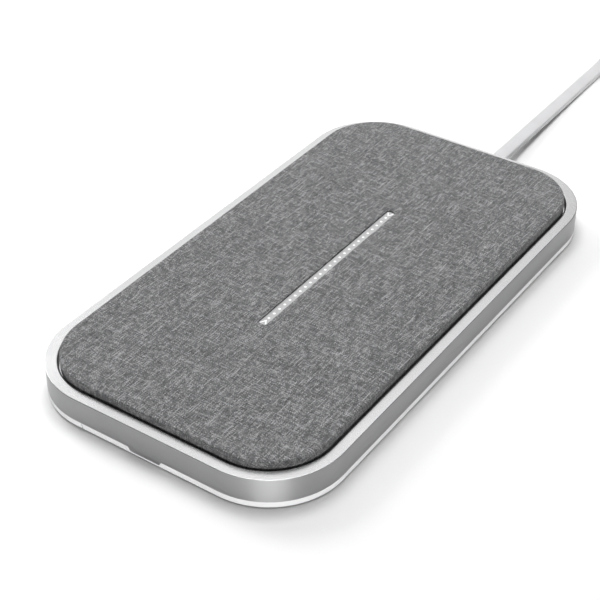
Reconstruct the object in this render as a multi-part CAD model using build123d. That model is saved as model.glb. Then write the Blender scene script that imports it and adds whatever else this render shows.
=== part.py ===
from build123d import *

import os
from math import cos, hypot, radians, sin, tan

# Wireless charging pad: a fabric-topped tray in an alloy frame on a moulded base, with a captive flat lead.
# Millimetres. The origin is the middle of the footprint, at the level it stands on.
# +Y points at the lead end, and +Z is up.

# ---- driving dimensions ----
PAD_LENGTH = 168.0
PAD_WIDTH = 90.6
CORNER_RADIUS = 22.2
FOOT_PROUD = 0.3
BASE_EDGE_TOP = 2.1
RIM_TOP = 9.4
PAD_TOP = 11.8

# frame section
RIM_FLAT = 3.0
LIP_RADIUS = 0.6
RIM_INSET = RIM_FLAT + LIP_RADIUS
WALL = 2.4
LEDGE_TOP = 7.7
LEDGE_THICKNESS = 1.2
LEDGE_INSET = 7.6
LEDGE_BOTTOM = LEDGE_TOP - LEDGE_THICKNESS
EDGE_BREAK = 0.15
TONGUE_HALF = 4.6
TONGUE_DROP = 1.15
TONGUE_DEPTH = 1.6

# base plate
BASE_FLOOR_TOP = 1.7
BASE_BAND = 8.6
BASE_EDGE_BREAK = 0.25
SLIT_X = -20.9
SLIT_WIDTH = 0.5
SLIT_DEPTH = 0.7
FOOT_RING_INSET = 12.0
FOOT_RING_WIDTH = 6.0
FOOT_RING_RECESS = 0.7

# fabric-covered pad
PAD_INSET = 4.05
FABRIC = 0.5
CROWN_RADIUS = 1.1
HEM_WIDTH = 3.4
TRAY_BOTTOM = LEDGE_TOP + FABRIC
TRAY_TOP = 9.4
CORE_INSET = PAD_INSET + FABRIC
HOOK_WIDTH = 6.0

# light bar
SLOT_LENGTH = 67.0
SLOT_WIDTH = 2.6
SLOT_CORNER = 0.8
SLOT_DEPTH = 0.5
BAR_CLEARANCE = 0.05
DOT_COUNT = 25
DOT_PITCH = 2.5
DOT_RADIUS = 0.4
DOT_DEPTH = 1.2
CHEVRON_TIP = 31.4
CHEVRON_ARM = 1.5
CHEVRON_STROKE = 0.45
STRIP_WIDTH = 4.6
STRIP_THICKNESS = 0.25
STRIP_BOTTOM = 7.6
LED_SIZE = (1.0, 0.6, 0.3)

# coil assembly
COIL_RADIUS = 21.5
COIL_BORE = 10.0
COIL_THICKNESS = 1.15
COIL_PITCH = 26.0
HOLDER_HALF = (29.0, 50.2)
HOLDER_BOTTOM = 2.9
HOLDER_FLOOR = 0.9
HOLDER_RIM_TOP = 5.4
FERRITE_HALF = (27.2, 48.6)
FERRITE_THICKNESS = 1.0
FERRITE_BOTTOM = HOLDER_BOTTOM + HOLDER_FLOOR
COIL_BOTTOM = FERRITE_BOTTOM + FERRITE_THICKNESS
LEAD_WIRE_RADIUS = 0.42

# main board
BOARD_SIZE = (62.0, 18.0, 1.2)
BOARD_Y = 62.0
BOARD_BOTTOM = 3.4
BOARD_TOP = BOARD_BOTTOM + BOARD_SIZE[2]
POST_RADIUS = 2.3
TERMINAL_Y = 54.1
BOARD_SCREW_X = 28.2
BOARD_SCREW_Y = 6.2

# screws
SCREW_RADIUS = 1.0
SCREW_HEAD_RADIUS = 1.9
SCREW_HEAD_HEIGHT = 1.1
BOSS_RADIUS = 2.6
BOSS_INSET = 5.9

# captive lead
CABLE_WIDTH = 5.3
CABLE_THICKNESS = 1.6
CABLE_CORNER = 0.75
CABLE_X = 5.9
EXIT_Z = 3.65
REAR = PAD_LENGTH / 2
RELIEF_LENGTH = 7.0
CLAMP_Y = 78.4
CLAMP_DEPTH = 2.6
CLAMP_WIDTH = 18.0
CLAMP_SCREW_X = 6.4
CLAMP_THICKNESS = 1.2
# middle line of the lead, from the outside of the rear wall to the start of its coil
CABLE_ROUTE = [
    (5.9, 84.0, 3.65),
    (5.9, 89.0, 3.65),
    (5.55, 99.0, 3.2),
    (4.74, 117.0, 2.15),
    (3.93, 143.0, 1.1),
    (3.7, 160.0, 0.8),
    (3.7, 176.5, 0.8),
    (3.7, 184.5, 2.2),
    (3.7, 192.0, 3.0),
    (3.7, 200.0, 3.05),
]
FLAT_RUN_POINTS = 7
TWIST_STEPS = 6

# the put-away coil, wound on edge as a double spiral so that both ends leave on the outside
COIL_LIFT = 0.4
WIND_OUTER = 36.2
WIND_STEP = 4.2
WIND_TURNS = 2.4
TAIL_ANGLE = 75.0
TAIL_LENGTH = 24.0
WIND_CENTRE = (CABLE_ROUTE[-1][0] + WIND_OUTER, 200.0)
WIND_INNER = WIND_OUTER - WIND_STEP * WIND_TURNS
TAIL_RADIUS = WIND_OUTER + WIND_STEP * TAIL_ANGLE / 360
TIE_ANGLE = 300.0
TIE_WIDTH = 8.0
TIE_THICKNESS = 0.4
TIE_ROOM = 0.5

# plug
PLUG_Z = 3.8
PLUG_NECK = 6.0
PLUG_BODY = (19.0, 15.4, 7.6)
PLUG_SHELL = (18.7, 12.0, 4.5)
PLUG_WALL = 0.3
CONTACT_SIZE = (7.4, 1.0, 0.2)


def outline(inset):
    """The pad's rounded rectangle, drawn in by a distance."""
    return RectangleRounded(PAD_WIDTH - 2 * inset, PAD_LENGTH - 2 * inset, CORNER_RADIUS - inset)


def slab(inset, low, high):
    """A rounded-rectangle plate between two heights."""
    return extrude(Pos(0, 0, low) * outline(inset), amount=high - low)


def block(x, y, low, size):
    """A box centred on x and y, standing on a height."""
    return Pos(x, y, low + size[2] / 2) * Box(*size)


def disc(x, y, low, high, radius):
    """An upright cylinder between two heights."""
    return Pos(x, y, (low + high) / 2) * Cylinder(radius, high - low)


def edges_at(solid, height):
    """Every edge that lies wholly at one height."""
    return solid.edges().filter_by(lambda e: e.bounding_box().size.Z < 1e-4).filter_by_position(
        Axis.Z, height - 1e-3, height + 1e-3
    )


def slot_outline(margin=0.0):
    return RectangleRounded(SLOT_WIDTH + 2 * margin, SLOT_LENGTH + 2 * margin, SLOT_CORNER + margin)


def slot_block(low, high, margin=0.0):
    return extrude(Pos(0, 0, low) * slot_outline(margin), amount=high - low)


def corner_spot(inset, angle):
    """A point on the corner arc of the first quadrant, at an inset, by its angle."""
    radius = CORNER_RADIUS - inset
    x = PAD_WIDTH / 2 - CORNER_RADIUS + radius * cos(radians(angle))
    y = PAD_LENGTH / 2 - CORNER_RADIUS + radius * sin(radians(angle))
    return x, y


def boss_spots():
    """The six places where a base screw enters the frame."""
    x, y = corner_spot(BOSS_INSET, 45)
    side = PAD_WIDTH / 2 - BOSS_INSET
    return [(x, y), (-x, y), (x, -y), (-x, -y), (side, 0), (-side, 0)]


def alloy_frame():
    body = slab(0, BASE_EDGE_TOP, RIM_TOP)
    body -= slab(RIM_INSET, LEDGE_TOP, RIM_TOP)
    inner = edges_at(body, RIM_TOP).filter_by(lambda e: abs(e.center().X) < PAD_WIDTH / 2 - 1)
    inner = inner.filter_by(lambda e: hypot(*_corner_offset(e.center())) < CORNER_RADIUS - 1)
    body = fillet(inner, LIP_RADIUS)
    outer = edges_at(body, RIM_TOP).filter_by(lambda e: _edge_inset(e.center()) < 0.5)
    body = fillet(outer, EDGE_BREAK)
    body -= slab(LEDGE_INSET, LEDGE_BOTTOM - 1, LEDGE_TOP + 1)
    body -= slab(WALL, BASE_EDGE_TOP, LEDGE_BOTTOM)
    for x, y in boss_spots():
        body += disc(x, y, BASE_EDGE_TOP, LEDGE_BOTTOM, BOSS_RADIUS) & slab(0.5, 0, RIM_TOP)
    for x, y in boss_spots():
        body -= disc(x, y, BASE_EDGE_TOP, LEDGE_BOTTOM - 0.4, SCREW_RADIUS)
    body += front_tongue(0)
    body -= block(CABLE_X, REAR - WALL / 2, BASE_EDGE_TOP - 0.5, (6.4, WALL + 2, 3.4))
    return body


def _corner_offset(point):
    """How far a point lies past the straight sides, along X and Y."""
    x = max(abs(point.X) - (PAD_WIDTH / 2 - CORNER_RADIUS), 0)
    y = max(abs(point.Y) - (PAD_LENGTH / 2 - CORNER_RADIUS), 0)
    return x, y


def _edge_inset(point):
    """How far a point lies inside the pad's outline."""
    x, y = _corner_offset(point)
    return CORNER_RADIUS - hypot(x, y)


def front_tongue(margin):
    """The locating tongue that drops from the frame into the front edge of the base."""
    half = TONGUE_HALF + margin
    low = BASE_EDGE_TOP - TONGUE_DROP - margin
    top = half + TONGUE_DROP * 0.7
    face = Polyline(
        (-top, BASE_EDGE_TOP), (-half, low), (half, low), (top, BASE_EDGE_TOP), close=True
    )
    sketch = Plane.XZ.offset(PAD_LENGTH / 2) * make_face(face)
    return extrude(sketch, amount=-(TONGUE_DEPTH + margin))


def base_plate():
    body = slab(0, FOOT_PROUD, BASE_EDGE_TOP)
    bottom = edges_at(body, FOOT_PROUD)
    body = fillet(bottom, BASE_EDGE_BREAK)
    body -= slab(BASE_BAND, BASE_FLOOR_TOP, BASE_EDGE_TOP)
    body -= foot_ring_shape(FOOT_PROUD, FOOT_RING_RECESS + FOOT_PROUD, 0.1)
    body -= front_tongue(0.03)
    body -= Pos(SLIT_X, -PAD_LENGTH / 2, 1.2) * Box(SLIT_WIDTH, 2 * SLIT_DEPTH, 3)
    for x, y in boss_spots():
        body -= disc(x, y, 0, BASE_EDGE_TOP, SCREW_RADIUS + 0.15)
        body -= disc(x, y, 0, FOOT_PROUD + 0.15 + SCREW_HEAD_HEIGHT, SCREW_HEAD_RADIUS + 0.15)
    for x, y in board_posts():
        body += disc(x, y, BASE_FLOOR_TOP, BOARD_BOTTOM, POST_RADIUS)
        body -= disc(x, y, BASE_FLOOR_TOP + 0.2, BOARD_BOTTOM, SCREW_RADIUS - 0.2)
    for x, y in holder_posts():
        body += disc(x, y, BASE_FLOOR_TOP, HOLDER_BOTTOM, POST_RADIUS)
    rib = EXIT_Z - CABLE_THICKNESS / 2 - BASE_FLOOR_TOP
    body += block(CABLE_X, CLAMP_Y, BASE_FLOOR_TOP, (CLAMP_WIDTH, CLAMP_DEPTH, rib))
    for x in clamp_screw_xs():
        body -= disc(x, CLAMP_Y, BASE_FLOOR_TOP - 0.6, EXIT_Z, SCREW_RADIUS - 0.2)
    return body


def foot_ring_shape(low, high, margin=0.0):
    ring = slab(FOOT_RING_INSET - margin, low, high)
    return ring - slab(FOOT_RING_INSET + FOOT_RING_WIDTH + margin, low, high)


def foot_ring():
    body = foot_ring_shape(0, FOOT_RING_RECESS + FOOT_PROUD)
    return fillet(edges_at(body, 0), 0.2)


def board_posts():
    places = []
    for x in (-BOARD_SCREW_X, BOARD_SCREW_X):
        for y in (BOARD_Y - BOARD_SCREW_Y, BOARD_Y + BOARD_SCREW_Y):
            places.append((x, y))
    return places


def holder_posts():
    return [(x, y) for x in (-22.0, 22.0) for y in (-40.0, 0.0, 40.0)]


def clamp_screw_xs():
    return [CABLE_X - CLAMP_SCREW_X, CABLE_X + CLAMP_SCREW_X]


def screw(x, y, head_low, head_radius, length, countersunk):
    """A pan or flat head screw pointing up, its head at the bottom."""
    head = disc(x, y, head_low, head_low + SCREW_HEAD_HEIGHT, head_radius)
    if countersunk:
        rim = edges_at(head, head_low)
        head = fillet(rim, 0.15)
    neck = head_low + SCREW_HEAD_HEIGHT
    shank = disc(x, y, neck, neck + length, SCREW_RADIUS)
    recess = extrude(Pos(x, y, head_low) * RegularPolygon(0.75, 6), amount=0.7)
    return head + shank - recess


def base_screws():
    return Compound([
        screw(x, y, FOOT_PROUD + 0.15, SCREW_HEAD_RADIUS, 4.2, True) for x, y in boss_spots()
    ])


def top_screw(x, y, seat, length):
    """A pan head screw pointing down, its head resting at a height."""
    head = disc(x, y, seat, seat + 0.9, 1.7)
    head = fillet(edges_at(head, seat + 0.9), 0.35)
    shank = disc(x, y, seat - length, seat, SCREW_RADIUS - 0.2)
    recess = extrude(Pos(x, y, seat + 0.9) * RegularPolygon(0.7, 6), amount=-0.5)
    return head + shank - recess


def board_screws():
    return Compound([top_screw(x, y, BOARD_TOP, 2.6) for x, y in board_posts()])


def top_tray():
    body = slab(CORE_INSET, TRAY_BOTTOM, TRAY_TOP)
    body -= slot_block(TRAY_BOTTOM, TRAY_TOP, BAR_CLEARANCE)
    rib_x = STRIP_WIDTH / 2 + 0.7
    for x in (-rib_x, rib_x):
        body += block(x, 0, STRIP_BOTTOM, (0.8, SLOT_LENGTH, TRAY_BOTTOM - STRIP_BOTTOM))
    for x, y, turn in hook_spots():
        body += Pos(x, y, 0) * Rot(0, 0, turn) * snap_hook()
    return body


def hook_spots():
    side = PAD_WIDTH / 2 - LEDGE_INSET
    end = PAD_LENGTH / 2 - LEDGE_INSET
    places = [(side, y, 0) for y in (-38.0, 38.0)]
    places += [(-side, y, 180) for y in (-38.0, 38.0)]
    places += [(14.0, -end, -90), (-14.0, -end, -90)]
    return places


def snap_hook():
    """A hook that springs past the frame's ledge and catches under it; +X points at the wall."""
    profile = Polyline(
        (-0.15, TRAY_BOTTOM), (-0.15, LEDGE_BOTTOM - 0.05), (0.45, LEDGE_BOTTOM - 0.05),
        (-0.15, LEDGE_BOTTOM - 1.1), (-1.15, LEDGE_BOTTOM - 1.1), (-1.15, TRAY_BOTTOM), close=True,
    )
    sketch = Plane.XZ.offset(-HOOK_WIDTH / 2) * make_face(profile)
    return extrude(sketch, amount=HOOK_WIDTH)


def foam_layer():
    body = slab(CORE_INSET, TRAY_TOP, PAD_TOP - FABRIC)
    body = fillet(edges_at(body, PAD_TOP - FABRIC), CROWN_RADIUS - FABRIC)
    return body - slot_block(TRAY_TOP, PAD_TOP, BAR_CLEARANCE)


def fabric_cover():
    body = slab(PAD_INSET, LEDGE_TOP, PAD_TOP)
    body = fillet(edges_at(body, PAD_TOP), CROWN_RADIUS)
    core = slab(CORE_INSET, TRAY_BOTTOM, PAD_TOP - FABRIC)
    core = fillet(edges_at(core, PAD_TOP - FABRIC), CROWN_RADIUS - FABRIC)
    body -= core
    body -= slab(CORE_INSET + HEM_WIDTH, LEDGE_TOP - 1, TRAY_BOTTOM + 1)
    body -= slot_block(TRAY_TOP, PAD_TOP + 1, BAR_CLEARANCE)
    for x, y, turn in hook_spots():
        notch = Box(2.4, HOOK_WIDTH + 0.6, 3.0)
        body -= Pos(x, y, LEDGE_TOP) * Rot(0, 0, turn) * Pos(-0.6, 0, 0) * notch & slab(6.0, 0, TRAY_BOTTOM)
    return body


def dot_spots():
    start = -DOT_PITCH * (DOT_COUNT - 1) / 2
    return [start + DOT_PITCH * i for i in range(DOT_COUNT)]


def chevron(sign, low, high, margin=0.0):
    """An arrowhead across one end of the bar, pointing at the middle."""
    half = SLOT_WIDTH / 2 - 0.35
    tip = sign * CHEVRON_TIP
    tail = sign * (CHEVRON_TIP + CHEVRON_ARM)
    line = Polyline((-half, tail), (0, tip), (half, tail))
    stroke = trace(line, CHEVRON_STROKE + 2 * margin)
    return extrude(Pos(0, 0, low) * stroke, amount=high - low)


BAR_TOP = PAD_TOP - SLOT_DEPTH


def light_bar():
    body = slot_block(TRAY_BOTTOM, BAR_TOP)
    for y in dot_spots():
        body -= disc(0, y, BAR_TOP - DOT_DEPTH, BAR_TOP, DOT_RADIUS)
    for sign in (-1, 1):
        body -= chevron(sign, BAR_TOP - DOT_DEPTH, BAR_TOP)
    return body


def light_dots():
    return Compound([disc(0, y, BAR_TOP - DOT_DEPTH, BAR_TOP + 0.03, DOT_RADIUS) for y in dot_spots()])


def light_chevron(sign):
    return chevron(sign, BAR_TOP - DOT_DEPTH, BAR_TOP + 0.03)


def led_strip():
    return block(0, 0, STRIP_BOTTOM, (STRIP_WIDTH, SLOT_LENGTH + 2, STRIP_THICKNESS))


def status_leds():
    return Compound([block(0, y, STRIP_BOTTOM + STRIP_THICKNESS, LED_SIZE) for y in dot_spots()])


def led_ribbon():
    """The flat tail that drops from the light strip to its connector on the board."""
    start = SLOT_LENGTH / 2 + 1
    level = STRIP_BOTTOM + STRIP_THICKNESS / 2
    points = [(0, start, level), (0, 47.0, level), (0, 51.0, 5.3), (0, 55.1, 5.3)]
    path = FilletPolyline(*points, radius=1.2)
    section = Plane(origin=points[0], x_dir=(1, 0, 0), z_dir=(0, 1, 0)) * Rectangle(3.0, 0.2)
    return sweep(section, path=path)


def coil_holder():
    width, length = HOLDER_HALF
    body = block(0, 0, HOLDER_BOTTOM, (2 * width, 2 * length, HOLDER_RIM_TOP - HOLDER_BOTTOM))
    body = fillet(body.edges().filter_by(Axis.Z), 4.0)
    pocket = (2 * FERRITE_HALF[0] + 0.2, 2 * FERRITE_HALF[1] + 0.2, HOLDER_RIM_TOP)
    body -= block(0, 0, FERRITE_BOTTOM, pocket)
    gate = (2 * FERRITE_HALF[0] - 0.4, 6.0, HOLDER_RIM_TOP)
    body -= block(0, length, COIL_BOTTOM, gate)
    return body


def ferrite_sheet():
    size = (2 * FERRITE_HALF[0], 2 * FERRITE_HALF[1], FERRITE_THICKNESS)
    body = block(0, 0, FERRITE_BOTTOM, size)
    return chamfer(body.edges().filter_by(Axis.Z), 1.0)


def charging_coil(index):
    """Front, middle and rear coils are 0, 1 and 2; the middle one lies on top of its neighbours."""
    low = COIL_BOTTOM + (COIL_THICKNESS if index == 1 else 0)
    y = COIL_PITCH * (index - 1)
    body = disc(0, y, low, low + COIL_THICKNESS, COIL_RADIUS)
    body -= disc(0, y, low, low + COIL_THICKNESS, COIL_BORE)
    return fillet(edges_at(body, low + COIL_THICKNESS), 0.3)


def coil_leads():
    """Two wires from each coil, along the edge of the ferrite to the board."""
    wires = []
    lanes = [(0, 1, 25.0), (1, -1, 23.0), (2, 1, 22.5)]
    for index, side, lane in lanes:
        y = COIL_PITCH * (index - 1)
        level = COIL_BOTTOM + 0.55 + (COIL_THICKNESS if index == 1 else 0)
        for wire in range(2):
            x = side * (lane + 1.15 * wire)
            drop = BOARD_TOP + 0.45 + LEAD_WIRE_RADIUS
            points = [
                (side * (COIL_RADIUS - 1.4), y + 8.6 + 1.2 * wire, level),
                (x, y + 13.0 + 1.2 * wire, level),
                (x, 46.0, drop),
                (x, TERMINAL_Y, drop),
            ]
            wires.append(round_wire(points, LEAD_WIRE_RADIUS, 1.5))
    return Compound(wires)


def round_wire(points, radius, bend):
    path = FilletPolyline(*points, radius=bend)
    start = Vector(*points[0])
    section = Plane(origin=start, z_dir=Vector(*points[1]) - start) * Circle(radius)
    return sweep(section, path=path)


def coil_terminals():
    """Solder tabs where the coil wires meet the board."""
    spots = [25.0, 26.15, -23.0, -24.15, 22.5, 23.65]
    return Compound([block(x, TERMINAL_Y, BOARD_TOP, (0.9, 1.6, 0.45)) for x in spots])


def coil_thermistor():
    body = block(0, 0, COIL_BOTTOM, (1.6, 3.2, 0.8))
    return fillet(body.edges().filter_by(Axis.Z), 0.3)


def main_board():
    body = block(0, BOARD_Y, BOARD_BOTTOM, BOARD_SIZE)
    body = fillet(body.edges().filter_by(Axis.Z), 1.5)
    for x, y in board_posts():
        body -= disc(x, y, BOARD_BOTTOM, BOARD_TOP, SCREW_RADIUS + 0.1)
    return body


def on_board(spots, size, break_radius=0.0):
    """Identical square-cornered components standing on the board."""
    parts = []
    for x, y in spots:
        part = block(x, y, BOARD_TOP, size)
        if break_radius:
            part = fillet(edges_at(part, BOARD_TOP + size[2]), break_radius)
        parts.append(part)
    return parts[0] if len(parts) == 1 else Compound(parts)


def power_inductor():
    body = block(-14.5, 63.5, BOARD_TOP, (7.0, 7.0, 2.4))
    body = fillet(body.edges().filter_by(Axis.Z), 1.2)
    return body + disc(-14.5, 63.5, BOARD_TOP + 2.4, BOARD_TOP + 2.6, 2.6)


def lead_socket():
    body = block(CABLE_X, 67.6, BOARD_TOP, (9.0, 5.4, 3.0))
    return body - Pos(CABLE_X, 69.6, BOARD_TOP + 1.6) * Box(7.4, 4.0, 1.9)


def lead_connector():
    return block(CABLE_X, 70.3, BOARD_TOP + 0.75, (7.0, 4.8, 1.7))


def lead_cores():
    """Four insulated cores from the end of the lead's sheath up to the connector."""
    cores = []
    for i in range(4):
        x = CABLE_X + 1.15 * (i - 1.5)
        points = [
            (x, 76.0, EXIT_Z),
            (x, 75.2, EXIT_Z),
            (x, 73.8, BOARD_TOP + 1.6),
            (x, 72.7, BOARD_TOP + 1.6),
        ]
        cores.append(round_wire(points, LEAD_WIRE_RADIUS, 0.45))
    return Compound(cores)


def cable_section(centre, along, across, width=CABLE_WIDTH, thickness=CABLE_THICKNESS):
    corner = min(CABLE_CORNER, thickness / 2 - 0.05)
    return Plane(origin=centre, x_dir=across, z_dir=along) * RectangleRounded(width, thickness, corner)


def lead_inner_run():
    """The sheathed lead inside the housing, from the wall to where its sheath is stripped."""
    section = cable_section((CABLE_X, 76.0, EXIT_Z), (0, 1, 0), (1, 0, 0))
    return extrude(section, amount=REAR - 76.0)


def lead_clamp():
    """The bar that two screws pull down on the lead."""
    top = EXIT_Z + CABLE_THICKNESS / 2
    body = block(CABLE_X, CLAMP_Y, top, (CLAMP_WIDTH, CLAMP_DEPTH, CLAMP_THICKNESS))
    foot = EXIT_Z - CABLE_THICKNESS / 2
    width = (CLAMP_WIDTH - CABLE_WIDTH) / 2 - 0.2
    for side in (-1, 1):
        x = CABLE_X + side * (CLAMP_WIDTH - width) / 2
        body += block(x, CLAMP_Y, foot, (width, CLAMP_DEPTH, top - foot))
    for x in clamp_screw_xs():
        body -= disc(x, CLAMP_Y, EXIT_Z - 1, top + CLAMP_THICKNESS, SCREW_RADIUS - 0.1)
    return body


def clamp_screws():
    seat = EXIT_Z + CABLE_THICKNESS / 2 + CLAMP_THICKNESS
    return Compound([small_screw(x, CLAMP_Y, seat) for x in clamp_screw_xs()])


def small_screw(x, y, seat):
    head = disc(x, y, seat, seat + 0.6, 1.25)
    return head + disc(x, y, seat - 4.2, seat, SCREW_RADIUS - 0.2)


def strain_relief():
    """A grommet with a flange inside the wall and a short tapered tail outside it."""
    wall_inner = REAR - WALL
    root = cable_section((CABLE_X, REAR, EXIT_Z), (0, 1, 0), (1, 0, 0), 7.6, 3.7)
    tip = cable_section((CABLE_X, REAR + RELIEF_LENGTH, EXIT_Z - 0.1), (0, 1, 0), (1, 0, 0), 6.3, 2.3)
    body = loft([root, tip])
    body += block(CABLE_X, REAR - WALL / 2, BASE_EDGE_TOP + 0.05, (6.2, WALL, 2.8))
    body += block(CABLE_X, wall_inner - 0.5, BASE_EDGE_TOP + 0.05, (8.6, 1.0, 2.8))
    body -= lead_inner_run()
    return body - flat_run()


def route_radii(points, least=3 * CABLE_WIDTH):
    """The arc radius at each corner: 0.45 of the shorter run over the tangent of half the turn."""
    radii = []
    for before, here, after in zip(points, points[1:], points[2:]):
        one = Vector(*here) - Vector(*before)
        two = Vector(*after) - Vector(*here)
        turn = one.get_angle(two)
        radius = 0.45 * min(one.length, two.length) / tan(radians(turn) / 2)
        assert radius > least
        radii.append(radius)
    return radii


def flat_run_path():
    points = CABLE_ROUTE[:FLAT_RUN_POINTS]
    return FilletPolyline(*points, radius=route_radii(points))


def flat_run():
    return sweep(cable_section(CABLE_ROUTE[0], (0, 1, 0), (1, 0, 0)), path=flat_run_path())


def print_route():
    """States the radii of the lead's flat run, and its volume against section times length."""
    radii = route_radii(CABLE_ROUTE[:FLAT_RUN_POINTS])
    print("flat run radii, mm:", ", ".join(f"{radius:.1f}" for radius in radii))
    length = flat_run_path().length
    area = cable_section((0, 0, 0), (0, 0, 1), (1, 0, 0)).area
    share = flat_run().volume / (area * length)
    print(f"flat run {length:.1f} mm, volume over section times length {share:.4f}")


def standing_height(turn, lift):
    """The middle height of a flat section turned about its run, with its lowest corner on the surface."""
    return lift + CABLE_WIDTH / 2 * sin(radians(turn)) + CABLE_THICKNESS / 2 * cos(radians(turn))


def twist(start, end, turns, heights):
    """A ruled quarter twist between two places, by flat sections at even steps."""
    run = Vector(*end) - Vector(*start)
    along = Vector(run.X, run.Y, 0).normalized()
    side = Vector(along.Y, -along.X, 0)
    sections = []
    for i in range(TWIST_STEPS + 1):
        share = i / TWIST_STEPS
        turn = turns[0] + (turns[1] - turns[0]) * share
        across = side * cos(radians(turn)) + Vector(0, 0, 1) * sin(radians(turn))
        spot = Vector(*start) + run * share
        centre = Vector(spot.X, spot.Y, heights[i])
        plane = Plane(origin=centre, x_dir=across, z_dir=along)
        sections.append(plane * Rectangle(CABLE_WIDTH, CABLE_THICKNESS))
    return loft(sections, ruled=True)


def twist_heights(turns, lift_start, lift_end, end_height=None):
    heights = []
    for i in range(TWIST_STEPS + 1):
        share = i / TWIST_STEPS
        turn = turns[0] + (turns[1] - turns[0]) * share
        height = standing_height(turn, lift_start + (lift_end - lift_start) * share)
        if end_height is not None:
            height = max(height, end_height * share)
        heights.append(height)
    return heights


def power_cable():
    """The lead from the wall to its coil: flat on the surface, then turned on edge."""
    start = CABLE_ROUTE[FLAT_RUN_POINTS - 1]
    end = CABLE_ROUTE[-1]
    turns = (0.0, 90.0)
    return flat_run() + twist(start, end, turns, twist_heights(turns, 0.0, COIL_LIFT))


def wind_point(radius, angle):
    x = WIND_CENTRE[0] + radius * cos(radians(angle))
    y = WIND_CENTRE[1] + radius * sin(radians(angle))
    return x, y


def cable_coil():
    """The outer shape of the put-away turns: a ring, with the S of the lead that crosses its middle."""
    half = CABLE_THICKNESS / 2
    height = CABLE_WIDTH
    centre = Pos(*WIND_CENTRE, COIL_LIFT)
    ring = Circle(TAIL_RADIUS + half) - Circle(WIND_INNER - half)
    body = extrude(centre * ring, amount=height)
    angle = 180.0 - 360.0 * WIND_TURNS
    bend = WIND_INNER / 2
    for side in (1, -1):
        loop = Circle(bend + half) - Circle(bend - half)
        loop &= Pos(0, -side * WIND_OUTER / 2) * Rectangle(2 * WIND_OUTER, WIND_OUTER)
        place = centre * Rot(0, 0, angle) * Pos(side * bend, 0, 0)
        body += extrude(place * loop, amount=height)
    return body


def tail_frame():
    """Where the lead leaves its coil, and the way it points there."""
    x, y = wind_point(TAIL_RADIUS, TAIL_ANGLE)
    heading = TAIL_ANGLE + 90.0
    return (x, y), heading


def tail_point(distance):
    (x, y), heading = tail_frame()
    return x + distance * cos(radians(heading)), y + distance * sin(radians(heading))


def cable_tail():
    """The last of the lead, turned flat again on its way to the plug."""
    turns = (90.0, 0.0)
    start = (*tail_point(0), 0)
    end = (*tail_point(TAIL_LENGTH), 0)
    return twist(start, end, turns, twist_heights(turns, COIL_LIFT, 0.0, PLUG_Z))


def cable_tie():
    """A flat strap closed round all the turns at one place."""
    half = CABLE_THICKNESS / 2
    low, high = WIND_INNER - half - TIE_ROOM, TAIL_RADIUS + half + TIE_ROOM
    top = COIL_LIFT + CABLE_WIDTH + 0.05
    outer = Box(high - low + 2 * TIE_THICKNESS, TIE_WIDTH, top + TIE_THICKNESS)
    inner = Box(high - low, TIE_WIDTH, top - COIL_LIFT)
    middle = (low + high) / 2
    body = Pos(middle, 0, (top + TIE_THICKNESS) / 2) * outer
    body -= Pos(middle, 0, (top + COIL_LIFT) / 2) * inner
    return Pos(*WIND_CENTRE, 0) * Rot(0, 0, TIE_ANGLE) * body


def plug_place():
    _, heading = tail_frame()
    x, y = tail_point(TAIL_LENGTH)
    return Pos(x, y, PLUG_Z) * Rot(0, 0, heading)


def across_plug(x, width, height, corner):
    """A rounded section of the plug, at a distance from where the lead enters it."""
    plane = Plane(origin=(x, 0, 0), x_dir=(0, 1, 0), z_dir=(1, 0, 0))
    return plane * RectangleRounded(width, height, corner)


def plug_neck():
    body = loft([across_plug(0, 6.3, 2.5, 1.1), across_plug(PLUG_NECK, 9.4, 4.6, 1.6)])
    return plug_place() * body


def plug_body():
    length, width, height = PLUG_BODY
    body = Pos(PLUG_NECK + length / 2, 0, 0) * Box(length, width, height)
    body = fillet(body.edges().filter_by(Axis.X), 2.2)
    ends = body.faces().filter_by(Axis.X).edges()
    return plug_place() * fillet(ends, 0.7)


def plug_shell():
    length, width, height = PLUG_SHELL
    start = PLUG_NECK + PLUG_BODY[0]
    body = extrude(across_plug(start, width, height, 0.6), amount=length)
    body -= extrude(across_plug(start, width - 2 * PLUG_WALL, height - 2 * PLUG_WALL, 0.3), amount=length)
    for y in (-2.6, 2.6):
        body -= Pos(start + length - 6.5, y, 0) * Box(2.2, 2.2, height + 1)
    return plug_place() * body


def plug_tongue():
    length, width, height = PLUG_SHELL
    start = PLUG_NECK + PLUG_BODY[0]
    body = Pos(start + length / 2 - 0.3, 0, 0.92) * Box(length - 0.6, width - 2 * PLUG_WALL - 0.7, 1.9)
    for y in (-3.5, -1.0, 1.0, 3.5):
        cut = (CONTACT_SIZE[0] + 0.01, CONTACT_SIZE[1] + 0.1, 0.21)
        body -= Pos(start + length - 5.3, y, -0.03 + 0.105 - 0.1) * Box(*cut)
    return plug_place() * body


def plug_contacts():
    start = PLUG_NECK + PLUG_BODY[0]
    strips = []
    for y in (-3.5, -1.0, 1.0, 3.5):
        strips.append(plug_place() * Pos(start + PLUG_SHELL[0] - 5.3, y, -0.04) * Box(*CONTACT_SIZE))
    return Compound(strips)


def board_parts():
    """The components on the main board, one node for each kind."""
    return {
        "power_controller": on_board([(0.5, 61.3)], (6.0, 6.0, 0.9)),
        "bridge_chips": on_board([(x, 59.0) for x in (8.5, 13.5, 18.5)], (3.6, 3.6, 0.9)),
        "resonant_capacitors": on_board(
            [(x, y) for x in (13.6, 18.4) for y in (64.0, 68.0)], (4.2, 3.0, 2.2), 0.2
        ),
        "input_capacitors": on_board([(-6.0, 67.5), (-6.0, 63.0)], (3.5, 2.8, 1.9), 0.2),
        "ribbon_socket": on_board([(0.0, 56.4)], (6.0, 2.6, 1.0)),
    }


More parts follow.
